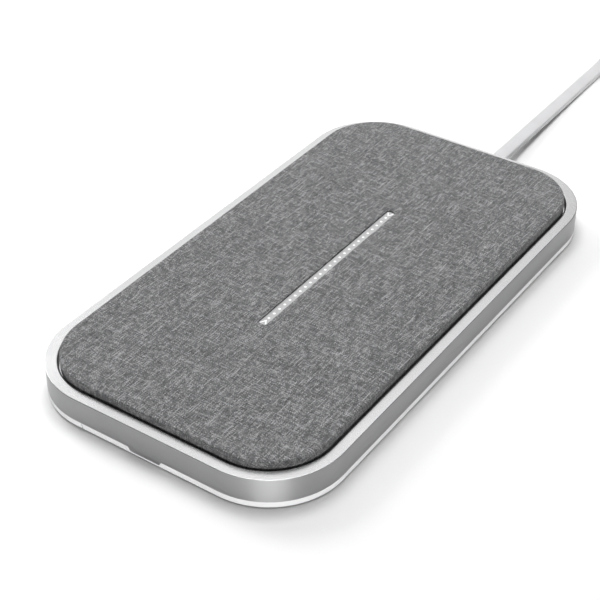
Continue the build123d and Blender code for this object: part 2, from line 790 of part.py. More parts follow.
def nodes():
    parts = {
        "alloy_frame": alloy_frame(),
        "base_plate": base_plate(),
        "foot_ring": foot_ring(),
        "base_screws": base_screws(),
        "top_tray": top_tray(),
        "foam_layer": foam_layer(),
        "fabric_cover": fabric_cover(),
        "light_bar": light_bar(),
        "light_dots": light_dots(),
        "front_chevron": light_chevron(-1),
        "rear_chevron": light_chevron(1),
        "led_strip": led_strip(),
        "status_leds": status_leds(),
        "led_ribbon": led_ribbon(),
        "coil_holder": coil_holder(),
        "ferrite_sheet": ferrite_sheet(),
        "front_charging_coil": charging_coil(0),
        "middle_charging_coil": charging_coil(1),
        "rear_charging_coil": charging_coil(2),
        "coil_leads": coil_leads(),
        "coil_terminals": coil_terminals(),
        "coil_thermistor": coil_thermistor(),
        "main_board": main_board(),
        "board_screws": board_screws(),
        "power_inductor": power_inductor(),
        "lead_socket": lead_socket(),
        "lead_connector": lead_connector(),
        "lead_cores": lead_cores(),
        "lead_inner_run": lead_inner_run(),
        "lead_clamp": lead_clamp(),
        "clamp_screws": clamp_screws(),
        "strain_relief": strain_relief(),
        "power_cable": power_cable(),
        "cable_coil": cable_coil(),
        "cable_tie": cable_tie(),
        "cable_tail": cable_tail(),
        "plug_neck": plug_neck(),
        "plug_body": plug_body(),
        "plug_shell": plug_shell(),
        "plug_tongue": plug_tongue(),
        "plug_contacts": plug_contacts(),
    }
    parts.update(board_parts())
    return parts


print_route()
os.makedirs("parts", exist_ok=True)
for name, solid in nodes().items():
    export_step(solid, f"parts/{name}.step")
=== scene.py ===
import bpy
import numpy as np
from math import cos, pi, radians, sin
from mathutils import Matrix, Vector


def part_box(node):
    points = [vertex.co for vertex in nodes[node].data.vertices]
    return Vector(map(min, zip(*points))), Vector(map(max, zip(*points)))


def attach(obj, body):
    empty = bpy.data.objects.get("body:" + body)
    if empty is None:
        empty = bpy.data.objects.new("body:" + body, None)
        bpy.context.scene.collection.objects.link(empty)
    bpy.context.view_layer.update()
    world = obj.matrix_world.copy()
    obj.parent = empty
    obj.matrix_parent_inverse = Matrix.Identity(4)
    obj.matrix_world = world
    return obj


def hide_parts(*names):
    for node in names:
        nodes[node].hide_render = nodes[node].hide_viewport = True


# Wireless charging pad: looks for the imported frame. Metres, +Y towards the lead end, +Z up.

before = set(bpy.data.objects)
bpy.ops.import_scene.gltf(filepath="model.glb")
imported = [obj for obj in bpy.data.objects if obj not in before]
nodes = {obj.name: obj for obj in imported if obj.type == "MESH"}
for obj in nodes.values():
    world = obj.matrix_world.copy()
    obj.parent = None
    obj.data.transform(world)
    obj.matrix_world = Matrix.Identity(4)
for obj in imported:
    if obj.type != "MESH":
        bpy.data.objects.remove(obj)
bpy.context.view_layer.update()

MM = 0.001

# ---- camera ----
AZIMUTH = 34.806
ELEVATION = 36.582
ROLL = -0.258
DISTANCE = 418.62 * MM
TARGET = Vector((-6.412 * MM, -5.926 * MM, 0.0))
LENS = 86.67
SENSOR = 36.0


def make_camera():
    """Looks down at the pad from its front right corner."""
    a, e, r = radians(AZIMUTH), radians(ELEVATION), radians(ROLL)
    back = Vector((sin(a) * cos(e), -cos(a) * cos(e), sin(e)))
    right = Vector((cos(a), sin(a), 0))
    up = back.cross(right)
    right, up = right * cos(r) + up * sin(r), up * cos(r) - right * sin(r)
    turn = Matrix((right, up, back)).transposed().to_4x4()
    data = bpy.data.cameras.new("camera")
    data.lens = LENS
    data.sensor_width = SENSOR
    data.clip_start = 0.01
    data.clip_end = 20
    camera = bpy.data.objects.new("camera", data)
    camera.matrix_world = Matrix.Translation(TARGET + back * DISTANCE) @ turn
    bpy.context.scene.collection.objects.link(camera)
    bpy.context.scene.camera = camera


make_camera()

# ---- sizes repeated from the model ----
CABLE_WIDTH = 5.3 * MM
CABLE_THICKNESS = 1.6 * MM
COIL_ENTRY_X = 3.7
EXIT = (5.9 * MM, 84.0 * MM, 3.65 * MM)
COIL_LIFT = 0.4 * MM
WIND_OUTER = 36.2
WIND_STEP = 4.2
WIND_TURNS = 2.4
WIND_CENTRE = (COIL_ENTRY_X + WIND_OUTER, 200.0)
WIND_INNER = WIND_OUTER - WIND_STEP * WIND_TURNS
TAIL_ANGLE = 75.0
TAIL_LENGTH = 24.0
EDGE_HEIGHT = 3.05
PLUG_Z = 3.8
STEPS_PER_TURN = 25
FLAT_END = 176.5 * MM
TWIST_END = 200.0 * MM

# middle line of the lead from the rear wall to its coil, in millimetres
ROUTE = [
    (5.9, 84.0, 3.65),
    (5.9, 89.0, 3.65),
    (5.55, 99.0, 3.2),
    (4.74, 117.0, 2.15),
    (3.93, 143.0, 1.1),
    (3.7, 160.0, 0.8),
    (3.7, 168.5, 0.8),
    (3.7, 176.5, 0.8),
    (3.7, 184.5, 2.2),
    (3.7, 192.0, 3.0),
    (3.7, 200.0, 3.05),
]


# ---- small helpers ----
def link(name, data):
    piece = bpy.data.objects.new(name, data)
    bpy.context.scene.collection.objects.link(piece)
    return piece


def smooth(mesh):
    for face in mesh.polygons:
        face.use_smooth = True


def mesh_piece(name, points, faces, material, smooth_shading=True):
    mesh = bpy.data.meshes.new(name)
    mesh.from_pydata([tuple(p) for p in points], [], faces)
    mesh.validate()
    mesh.update()
    if smooth_shading:
        smooth(mesh)
    piece = link(name, mesh)
    piece.data.materials.append(material)
    return piece


def ring_faces(rings, count, closed_rings=False):
    """Quads between rings of the same number of points."""
    faces = []
    last = rings if closed_rings else rings - 1
    for i in range(last):
        j = (i + 1) % rings
        for k in range(count):
            m = (k + 1) % count
            faces.append((i * count + k, i * count + m, j * count + m, j * count + k))
    return faces


# ---- shader helpers ----
class Nodes:
    """A material under construction."""

    def __init__(self, name, base, roughness=0.5, metallic=0.0):
        self.material = bpy.data.materials.new(name)
        self.material.use_nodes = True
        self.tree = self.material.node_tree
        self.shader = self.tree.nodes["Principled BSDF"]
        self.set("Base Color", (*base, 1))
        self.set("Roughness", roughness)
        self.set("Metallic", metallic)

    def set(self, socket, value):
        self.shader.inputs[socket].default_value = value

    def add(self, kind, **values):
        node = self.tree.nodes.new(kind)
        for key, value in values.items():
            setattr(node, key, value)
        return node

    def link(self, source, target):
        self.tree.links.new(source, target)

    def put(self, value, socket):
        """Links a socket or sets a number."""
        if hasattr(value, "links"):
            self.link(value, socket)
        else:
            socket.default_value = value

    def coords(self):
        return self.add("ShaderNodeTexCoord").outputs["Object"]

    def attribute(self, name):
        return self.add("ShaderNodeAttribute", attribute_name=name).outputs["Vector"]

    def math(self, operation, a, b=0.0, c=0.0, clamp=False):
        node = self.add("ShaderNodeMath", operation=operation, use_clamp=clamp)
        self.put(a, node.inputs[0])
        self.put(b, node.inputs[1])
        self.put(c, node.inputs[2])
        return node.outputs[0]

    def scaled(self, vector, factors):
        node = self.add("ShaderNodeVectorMath", operation="MULTIPLY")
        self.put(vector, node.inputs[0])
        node.inputs[1].default_value = factors
        return node.outputs[0]

    def split(self, vector):
        node = self.add("ShaderNodeSeparateXYZ")
        self.put(vector, node.inputs[0])
        return node.outputs

    def join(self, x, y, z=0.0):
        node = self.add("ShaderNodeCombineXYZ")
        self.put(x, node.inputs[0])
        self.put(y, node.inputs[1])
        self.put(z, node.inputs[2])
        return node.outputs[0]

    def noise(self, vector, scale, detail=2.0, rough=0.5):
        node = self.add("ShaderNodeTexNoise")
        self.put(vector, node.inputs["Vector"])
        node.inputs["Scale"].default_value = scale
        node.inputs["Detail"].default_value = detail
        node.inputs["Roughness"].default_value = rough
        return node.outputs["Fac"]

    def ramp(self, value, stops):
        """Maps a number through (position, grey) stops."""
        node = self.add("ShaderNodeValToRGB")
        self.put(value, node.inputs[0])
        ramp = node.color_ramp
        while len(ramp.elements) < len(stops):
            ramp.elements.new(0.5)
        for element, (place, colour) in zip(ramp.elements, stops):
            element.position = place
            tone = colour if hasattr(colour, "__len__") else (colour, colour, colour)
            element.color = (*tone, 1)
        return node.outputs[0]

    def mix(self, share, a, b):
        node = self.add("ShaderNodeMix", data_type="RGBA")
        self.put(share, node.inputs[0])
        self.put(a if hasattr(a, "links") else (*a, 1), node.inputs[6])
        self.put(b if hasattr(b, "links") else (*b, 1), node.inputs[7])
        return node.outputs[2]

    def colour(self, value):
        self.link(value, self.shader.inputs["Base Color"])

    def roughness(self, value):
        self.link(value, self.shader.inputs["Roughness"])

    def bump(self, height, strength, distance):
        node = self.add("ShaderNodeBump")
        node.inputs["Strength"].default_value = strength
        node.inputs["Distance"].default_value = distance
        self.put(height, node.inputs["Height"])
        self.link(node.outputs[0], self.shader.inputs["Normal"])


# ---- materials ----
WALL_ROUGHNESS = 0.37
RIM_POLISH = 0.23


def alloy():
    """Bead-blasted, anodised aluminium with faint handling marks, smoother where it faces up."""
    m = Nodes("alloy", (0.37, 0.37, 0.374), 0.42, 1.0)
    at = m.coords()
    cloud = m.noise(at, 60, 3)
    grain = m.noise(at, 5200, 2, 0.6)
    m.colour(m.ramp(cloud, [(0.3, (0.352, 0.353, 0.356)), (0.7, (0.378, 0.378, 0.381))]))
    blend = m.math("ADD", m.math("MULTIPLY", grain, 0.10), m.math("MULTIPLY", cloud, 0.06))
    facing_up = m.math("ABSOLUTE", m.split(m.add("ShaderNodeNewGeometry").outputs["True Normal"])[2])
    polish = m.math("MULTIPLY", facing_up, RIM_POLISH)
    m.roughness(m.math("SUBTRACT", m.math("ADD", blend, WALL_ROUGHNESS), polish))
    m.bump(grain, 0.2, 0.00003)
    m.set("Anisotropic", 0.6)
    m.set("Anisotropic Rotation", 0.25)
    return m.material


def moulded(name, tone, rough=0.5, grain_scale=3600, spread=0.03, strength=0.25):
    """Spark-textured moulded plastic with slight tonal drift."""
    m = Nodes(name, tone, rough)
    at = m.coords()
    cloud = m.noise(at, 45, 3)
    grain = m.noise(at, grain_scale, 2, 0.55)
    low = tuple(max(c - spread, 0) for c in tone)
    high = tuple(min(c + spread, 1) for c in tone)
    m.colour(m.ramp(cloud, [(0.3, low), (0.7, high)]))
    m.roughness(m.math("ADD", m.math("MULTIPLY", grain, 0.18), rough - 0.09))
    m.bump(grain, strength, 0.00003)
    return m.material


def rubber(name, tone, rough=0.75):
    """Matt rubber with fine dust."""
    m = Nodes(name, tone, rough)
    at = m.coords()
    dust = m.noise(at, 900, 4, 0.7)
    grain = m.noise(at, 2600, 2)
    light = tuple(min(c + 0.05, 1) for c in tone)
    m.colour(m.ramp(dust, [(0.45, tone), (0.75, light)]))
    m.roughness(m.math("ADD", m.math("MULTIPLY", dust, 0.2), rough - 0.12))
    m.bump(grain, 0.4, 0.00004)
    return m.material


def metal(name, tone, rough, scale=(1, 1, 1), strength=0.2):
    """Plated or turned metal with fine drawn lines along one axis."""
    m = Nodes(name, tone, rough, 1.0)
    at = m.scaled(m.coords(), scale)
    lines = m.noise(at, 1800, 3, 0.6)
    dark = tuple(c * 0.88 for c in tone)
    m.colour(m.ramp(lines, [(0.35, dark), (0.65, tone)]))
    m.roughness(m.math("ADD", m.math("MULTIPLY", lines, 0.15), rough - 0.07))
    m.bump(lines, strength, 0.00002)
    return m.material


WEAVE_PITCH = 0.33
SLOW_RATE = 0.2
QUICK_RATE = 0.8
SLUB_RATE = 0.16
# painted shade on the cover's sides: how dark they are made beside the top
PAINTED_SIDE_SHADE = 0.69
FABRIC_DARK = (0.036, 0.036, 0.038)
FABRIC_MIDDLE = (0.132, 0.133, 0.136)
FABRIC_LIGHT = (0.44, 0.441, 0.445)
FABRIC_SLUB = (0.48, 0.48, 0.485)


def yarn_tone(m, yarn, along, seed):
    """The tone of one yarn at a place along it."""
    slow_place = m.join(m.math("MULTIPLY", yarn, 3.17), m.math("MULTIPLY", along, SLOW_RATE), seed)
    quick_place = m.join(m.math("MULTIPLY", yarn, 5.71), m.math("MULTIPLY", along, QUICK_RATE), seed + 4)
    slow = m.noise(slow_place, 1.0, 2, 0.6)
    quick = m.noise(quick_place, 1.0, 1, 0.5)
    value = m.math("ADD", m.math("MULTIPLY", slow, 0.5), m.math("MULTIPLY", quick, 0.5))
    return m.ramp(value, [(0.34, FABRIC_DARK), (0.5, FABRIC_MIDDLE), (0.66, FABRIC_LIGHT)])


def slubs(m, yarn, wave, along, seed):
    """Where a thick pale slub lies over its neighbours, from 0 to 1."""
    place = m.join(m.math("MULTIPLY", yarn, 7.31), m.math("MULTIPLY", along, SLUB_RATE), seed)
    spots = m.noise(place, 1.0, 1, 0.5)
    shown = m.ramp(spots, [(0.62, 0.0), (0.78, 1.0)])
    return m.math("MULTIPLY", shown, m.math("POWER", m.math("ABSOLUTE", wave), 0.6))


def woven():
    """Heathered plain weave: every yarn has light and dark stretches, and some have thick slubs. Painted
    shade darkens the dips between yarns and the cover's sides.
    """
    m = Nodes("cover_weave", FABRIC_MIDDLE, 0.92)
    place = m.scaled(m.attribute("cloth"), (1000, 1000, 0))
    x, y, _ = m.split(place)
    x = m.math("ADD", x, m.math("MULTIPLY", m.noise(place, 0.22, 2), 0.5))
    y = m.math("ADD", y, m.math("MULTIPLY", m.noise(place, 0.19, 2), 0.5))
    column = m.math("DIVIDE", x, WEAVE_PITCH)
    row = m.math("DIVIDE", y, WEAVE_PITCH)
    warp, weft = m.math("FLOOR", column), m.math("FLOOR", row)
    warp_wave = m.math("SINE", m.math("MULTIPLY", column, pi))
    weft_wave = m.math("SINE", m.math("MULTIPLY", row, pi))
    checks = m.math("MULTIPLY", warp_wave, weft_wave)
    warp_on_top = m.math("ADD", m.math("MULTIPLY", checks, 1.6), 0.5, clamp=True)
    tone = m.mix(warp_on_top, yarn_tone(m, weft, x, 9.1), yarn_tone(m, warp, y, 3.7))
    warp_slubs = slubs(m, warp, warp_wave, y, 21.3)
    weft_slubs = slubs(m, weft, weft_wave, x, 33.9)
    tone = m.mix(m.math("MULTIPLY", warp_slubs, 0.75), tone, FABRIC_SLUB)
    tone = m.mix(m.math("MULTIPLY", weft_slubs, 0.55), tone, FABRIC_SLUB)
    # Painted shade: the dips between yarn crossings are darkened down to 0.62 of the tone; the same crown
    # also gives the bump height below.
    crown = m.math("MULTIPLY", m.math("ABSOLUTE", warp_wave), m.math("ABSOLUTE", weft_wave))
    shade = m.add("ShaderNodeMix", data_type="RGBA", blend_type="MULTIPLY")
    shade.inputs[0].default_value = 1.0
    m.link(tone, shade.inputs[6])
    m.link(m.ramp(crown, [(0.0, 0.62), (0.35, 1.0)]), shade.inputs[7])
    # Painted shade: where the cover turns from facing up to its sides, its colour is darkened to 0.69 of
    # the top's tone.
    side = m.add("ShaderNodeMix", data_type="RGBA", blend_type="MULTIPLY")
    side.inputs[0].default_value = 1.0
    facing_up = m.split(m.add("ShaderNodeNewGeometry").outputs["True Normal"])[2]
    m.link(shade.outputs[2], side.inputs[6])
    m.link(m.ramp(facing_up, [(0.55, PAINTED_SIDE_SHADE), (0.82, 1.0)]), side.inputs[7])
    m.colour(side.outputs[2])
    fuzz = m.noise(place, 9.0, 3, 0.7)
    height = m.math("ADD", m.math("MULTIPLY", crown, 0.8), m.math("MULTIPLY", fuzz, 0.5))
    height = m.math("ADD", height, m.math("MULTIPLY", warp_slubs, 0.4))
    m.bump(height, 0.55, 0.00012)
    m.set("Sheen Weight", 0.2)
    m.set("Sheen Roughness", 0.5)
    m.set("Sheen Tint", (0.9, 0.9, 0.92, 1))
    return m.material


def translucent(name, tone, glow=0.0):
    """Frosted light guide plastic."""
    m = Nodes(name, tone, 0.38)
    at = m.coords()
    cloud = m.noise(at, 700, 2)
    low = tuple(c * 0.94 for c in tone)
    m.colour(m.ramp(cloud, [(0.35, low), (0.65, tone)]))
    m.roughness(m.math("ADD", m.math("MULTIPLY", m.noise(at, 3000, 2), 0.2), 0.3))
    m.bump(cloud, 0.1, 0.00002)
    m.set("Subsurface Weight", 0.25)
    m.set("Subsurface Radius", (0.001, 0.001, 0.001))
    m.set("Subsurface Scale", 1.0)
    m.set("Emission Color", (1, 1, 1, 1))
    m.set("Emission Strength", glow)
    return m.material


def jacket():
    """The lead's soft satin jacket, with faint lines drawn along it."""
    m = Nodes("jacket", (0.62, 0.62, 0.63), 0.42)
    at = m.coords()
    along = m.attribute("lead")
    lines = m.noise(m.scaled(along, (2600, 40, 0)), 1.0, 2)
    cloud = m.noise(at, 120, 3)
    m.colour(m.ramp(cloud, [(0.3, (0.52, 0.52, 0.53)), (0.7, (0.57, 0.57, 0.578))]))
    m.roughness(m.math("ADD", m.math("MULTIPLY", lines, 0.2), 0.34))
    m.bump(lines, 0.12, 0.00003)
    return m.material


def strap():
    """Dark woven tape with ribs across it and a fine weave along them."""
    m = Nodes("strap", (0.05, 0.05, 0.053), 0.9)
    across, along, _ = m.split(m.scaled(m.attribute("strap"), (1000, 1000, 0)))
    ribs = m.math("ABSOLUTE", m.math("SINE", m.math("MULTIPLY", along, pi / 0.7)))
    yarns = m.math("ABSOLUTE", m.math("SINE", m.math("MULTIPLY", across, pi / 0.45)))
    weave = m.math("ADD", m.math("MULTIPLY", ribs, 0.6), m.math("MULTIPLY", yarns, 0.4))
    m.colour(m.ramp(weave, [(0.1, (0.025, 0.025, 0.027)), (0.8, (0.085, 0.085, 0.09))]))
    fuzz = m.noise(m.coords(), 4000, 3, 0.7)
    m.roughness(m.math("ADD", m.math("MULTIPLY", fuzz, 0.15), 0.8))
    m.bump(m.math("ADD", weave, m.math("MULTIPLY", fuzz, 0.4)), 0.5, 0.0001)
    return m.material


ALLOY = alloy()
BASE_PLASTIC = moulded("base_plastic", (0.77, 0.77, 0.775), 0.48)
JACKET = jacket()
RELIEF = rubber("relief_rubber", (0.60, 0.60, 0.61), 0.6)
WOVEN = woven()


# ---- the lead ----
def wind(radius, angle):
    x = WIND_CENTRE[0] + radius * cos(radians(angle))
    y = WIND_CENTRE[1] + radius * sin(radians(angle))
    return x, y, EDGE_HEIGHT


def coil_points():
    """Inward, through the middle in an S, and outward again beside the first half."""
    step = 360 / STEPS_PER_TURN
    steps = round(WIND_TURNS * STEPS_PER_TURN)
    points = []
    for i in range(1, steps + 1):
        points.append(wind(WIND_OUTER - WIND_STEP * i / STEPS_PER_TURN, 180 - step * i))
    inner_angle = 180 - step * steps
    bend = WIND_INNER / 2
    turn = radians(inner_angle)
    for side in (1, -1):
        for i in range(1, 9):
            t = radians(-22.5 * i * side)
            x = bend * side + bend * cos(t)
            y = bend * sin(t)
            points.append((
                WIND_CENTRE[0] + x * cos(turn) - y * sin(turn),
                WIND_CENTRE[1] + x * sin(turn) + y * cos(turn),
                EDGE_HEIGHT,
            ))
    sweep = 360 * WIND_TURNS + TAIL_ANGLE
    outward = round(sweep / step)
    for i in range(1, outward + 1):
        angle = sweep * i / outward
        points.append(wind(WIND_INNER + WIND_STEP * angle / 360, inner_angle + 180 + angle))
    return points


def tail_points():
    x, y, _ = wind(WIND_OUTER + WIND_STEP * TAIL_ANGLE / 360, TAIL_ANGLE)
    heading = radians(TAIL_ANGLE + 90)
    rise = PLUG_Z - EDGE_HEIGHT
    points = []
    for share in (1 / 3, 2 / 3, 1.0):
        along = TAIL_LENGTH * share
        points.append((x + along * cos(heading), y + along * sin(heading), EDGE_HEIGHT + rise * share))
    return points


def spline_line(points):
    """The smooth line that a NURBS spline makes of its control points, as Blender evaluates it."""
    curve = bpy.data.curves.new("lead_route", "CURVE")
    curve.dimensions = "3D"
    spline = curve.splines.new("NURBS")
    spline.points.add(len(points) - 1)
    for point, place in zip(spline.points, points):
        point.co = (place[0] * MM, place[1] * MM, place[2] * MM, 1)
    spline.order_u = 3
    spline.use_endpoint_u = True
    spline.resolution_u = 8
    holder = bpy.data.objects.new("lead_route", curve)
    mesh = bpy.data.meshes.new_from_object(holder)
    line = np.array([v.co[:] for v in mesh.vertices])
    bpy.data.meshes.remove(mesh)
    bpy.data.objects.remove(holder)
    bpy.data.curves.remove(curve)
    return line


def along_line(line):
    steps = np.linalg.norm(np.diff(line, axis=0), axis=1)
    return np.concatenate([[0], np.cumsum(steps)])


def ease(x):
    x = min(max(x, 0.0), 1.0)
    return x * x * (3 - 2 * x)


def lead_turn(i, line, along):
    """How far the flat lead is turned about its own line, in radians.

    The first half goes by the place's y, so the coil's inward turns lean or lie flat below TWIST_END.
    The second half is on edge and turns flat again along the tail.
    """
    before = ease((line[i][1] - FLAT_END) / (TWIST_END - FLAT_END))
    after = ease((along[-1] - along[i]) / (TAIL_LENGTH * MM))
    return radians(90) * (before if along[i] < along[-1] / 2 else after)


def lead_section(count=28):
    """The flat section: a rounded bar with faint grooves where its halves meet."""
    half_w, half_t = CABLE_WIDTH / 2, CABLE_THICKNESS / 2
    corner = 0.72 * MM
    points = []
    for quadrant in range(4):
        cx = (half_w - corner) * (1 if quadrant in (0, 3) else -1)
        cy = (half_t - corner) * (1 if quadrant in (0, 1) else -1)
        for i in range(count // 4):
            t = pi / 2 * (quadrant + i / (count // 4 - 1))
            points.append((cx + corner * cos(t), cy + corner * sin(t)))
    return points


def make_lead():
    line = spline_line([*ROUTE, *coil_points(), *tail_points()])
    along = along_line(line)
    section = lead_section()
    points, marks = [], []
    path = []
    for i, place in enumerate(line):
        a, b = line[max(i - 1, 0)], line[min(i + 1, len(line) - 1)]
        forward = Vector(b - a).normalized()
        side = Vector((forward.y, -forward.x, 0)).normalized()
        lift = side.cross(forward)
        turn = lead_turn(i, line, along)
        half_height = CABLE_WIDTH / 2 * sin(turn) + CABLE_THICKNESS / 2 * cos(turn)
        centre = Vector((place[0], place[1], max(place[2], half_height)))
        across = side * cos(turn) + lift * sin(turn)
        normal = lift * cos(turn) - side * sin(turn)
        path.append(tuple(centre))
        for u, v in section:
            points.append(centre + across * u + normal * v)
            marks.append((u, along[i], v))
    count = len(section)
    faces = ring_faces(len(line), count)
    faces.append(tuple(range(count))[::-1])
    faces.append(tuple(range((len(line) - 1) * count, len(line) * count)))
    lead = mesh_piece("lead", points, faces, JACKET)
    attribute = lead.data.attributes.new("lead", "FLOAT_VECTOR", "POINT")
    attribute.data.foreach_set("vector", np.array(marks, np.float32).ravel())
    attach(lead, "root")
    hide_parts("power_cable", "cable_coil", "cable_tail")
    return lead, path


lead, lead_path = make_lead()


# ---- strain relief ----
def make_relief():
    """A tapered boot with shallow grooves, from the wall to the free lead."""
    low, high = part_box("strain_relief")
    start, end = EXIT[1], high[1]
    rings, count = 40, 36
    points = []
    for i in range(rings):
        s = i / (rings - 1)
        y = start + (end - start) * s
        groove = 0.22 * MM * (0.5 - 0.5 * cos(2 * pi * 4 * s)) * (0.15 < s < 0.92)
        half_w = (3.75 - 0.62 * s) * MM - groove
        half_h = (1.8 - 0.66 * s) * MM - groove
        centre_z = EXIT[2] - 0.1 * MM * s
        if i == rings - 1:
            half_w, half_h = half_w - 0.25 * MM, half_h - 0.2 * MM
        for k in range(count):
            t = 2 * pi * k / count
            c, n = cos(t), sin(t)
            power = 0.55
            x = half_w * abs(c) ** power * (1 if c >= 0 else -1)
            z = half_h * abs(n) ** power * (1 if n >= 0 else -1)
            points.append((EXIT[0] + x, y, centre_z + z))
    faces = ring_faces(rings, count)
    faces.append(tuple(range(count))[::-1])
    faces.append(tuple(range((rings - 1) * count, rings * count)))
    relief = mesh_piece("relief", points, faces, RELIEF)
    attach(relief, "root")
    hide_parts("strain_relief")
    return relief


# ---- strap round the coil ----
TIE_ANGLE = 300.0
TIE_HALF = 4.0
TIE_CORNER = 1.1
TIE_LAP = (-6.0, 7.0)
TIE_LAYER = 0.44
TIE_BAND = 0.2


def tie_line():
    """The strap's middle line in the upright plane across the turns, in millimetres.

    It goes once round and over its own start.
    """
    low = WIND_INNER - CABLE_THICKNESS / MM / 2 - 0.7
    high = WIND_OUTER + WIND_STEP * TAIL_ANGLE / 360 + CABLE_THICKNESS / MM / 2 + 0.7
    bottom, top = TIE_BAND, COIL_LIFT / MM + CABLE_WIDTH / MM + 0.05 + TIE_BAND
    middle = (low + high) / 2
    start, end = middle + TIE_LAP[0], middle + TIE_LAP[1]
    line = [(x, top) for x in np.linspace(start, high - TIE_CORNER, 14)]
    for x, z, first in (
        (high - TIE_CORNER, top - TIE_CORNER, 90),
        (high - TIE_CORNER, bottom + TIE_CORNER, 0),
        (low + TIE_CORNER, bottom + TIE_CORNER, -90),
        (low + TIE_CORNER, top - TIE_CORNER, -180),
    ):
        for i in range(1, 9):
            t = radians(first - 90 * i / 8)
            line.append((x + TIE_CORNER * cos(t), z + TIE_CORNER * sin(t)))
    for x in np.linspace(low + TIE_CORNER, end, 40)[1:]:
        line.append((x, top + TIE_LAYER * ease((x - start + 3.0) / 2.5)))
    return line


def make_tie():
    """A woven strap closed round all the turns, its end lapped over on top."""
    line = np.array(tie_line())
    along = along_line(line)
    turn = radians(TIE_ANGLE)
    count = 24
    points, marks = [], []
    for i, (x, z) in enumerate(line):
        a, b = line[max(i - 1, 0)], line[min(i + 1, len(line) - 1)]
        forward = (b - a) / np.linalg.norm(b - a)
        tip = min((along[-1] - along[i]) / TIE_HALF, 1.0)
        half = TIE_HALF * (0.55 + 0.45 * (1 - (1 - tip) ** 2) ** 0.5) + 0.05 * sin(along[i] * 1.9)
        for k in range(count):
            t = 2 * pi * k / count
            u = half * abs(cos(t)) ** 0.35 * (1 if cos(t) >= 0 else -1)
            v = TIE_BAND * abs(sin(t)) ** 0.5 * (1 if sin(t) >= 0 else -1)
            radius, height = x + forward[1] * v, z - forward[0] * v
            points.append((
                (WIND_CENTRE[0] + radius * cos(turn) - u * sin(turn)) * MM,
                (WIND_CENTRE[1] + radius * sin(turn) + u * cos(turn)) * MM,
                max(height, 0.0) * MM,
            ))
            marks.append((u * MM, along[i] * MM, 0))
    faces = ring_faces(len(line), count)
    faces.append(tuple(range(count))[::-1])
    faces.append(tuple(range((len(line) - 1) * count, len(line) * count)))
    tie = mesh_piece("tie", points, faces, strap())
    attribute = tie.data.attributes.new("strap", "FLOAT_VECTOR", "POINT")
    attribute.data.foreach_set("vector", np.array(marks, np.float32).ravel())
    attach(tie, "root")
    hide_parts("cable_tie")
    return tie


relief = make_relief()
tie = make_tie()


# ---- fabric cover ----
def box_size(node):
    low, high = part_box(node)
    return Vector(high) - Vector(low)


PAD = box_size("alloy_frame")
CORNER = 22.2 * MM
COVER = box_size("fabric_cover")
COVER_INSET = (PAD.x - COVER.x) / 2
COVER_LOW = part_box("fabric_cover")[0][2]
COVER_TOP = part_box("fabric_cover")[1][2]
CROWN = 0.8 * MM
CLOTH = 0.5 * MM
HEM = 3.2 * MM
SLOT_HALF = (1.36 * MM, 33.56 * MM)
SLOT_CORNER = 0.85 * MM
ARC_POINTS = 26
LONG_POINTS = 90
SHORT_POINTS = 34


def rounded(half_x, half_y, corner):
    """Points round a rounded rectangle, the same number on each stretch whatever its size."""
    points = []
    corners = [(1, -1, -90), (1, 1, 0), (-1, 1, 90), (-1, -1, 180)]
    counts = [LONG_POINTS, SHORT_POINTS, LONG_POINTS, SHORT_POINTS]
    arcs = []
    for sx, sy, start in corners:
        arc = []
        for i in range(ARC_POINTS):
            t = radians(start + 90 * i / (ARC_POINTS - 1))
            arc.append((sx * (half_x - corner) + corner * cos(t), sy * (half_y - corner) + corner * sin(t)))
        arcs.append(arc)
    for k, count in enumerate(counts):
        points += arcs[k]
        a, b = arcs[k][-1], arcs[(k + 1) % 4][0]
        for i in range(1, count):
            s = i / count
            points.append((a[0] * (1 - s) + b[0] * s, a[1] * (1 - s) + b[1] * s))
    return np.array(points)


def outline(inset):
    return rounded(PAD.x / 2 - inset, PAD.y / 2 - inset, CORNER - inset)


def ripple(points, scale, seed):
    """A gentle unevenness, the same on each run."""
    x, y = points[:, 0] / scale, points[:, 1] / scale
    return np.sin(x * 1.3 + seed) * np.cos(y * 1.1 + 2 * seed) + 0.5 * np.sin(x * 2.7 + y * 2.1 + seed)


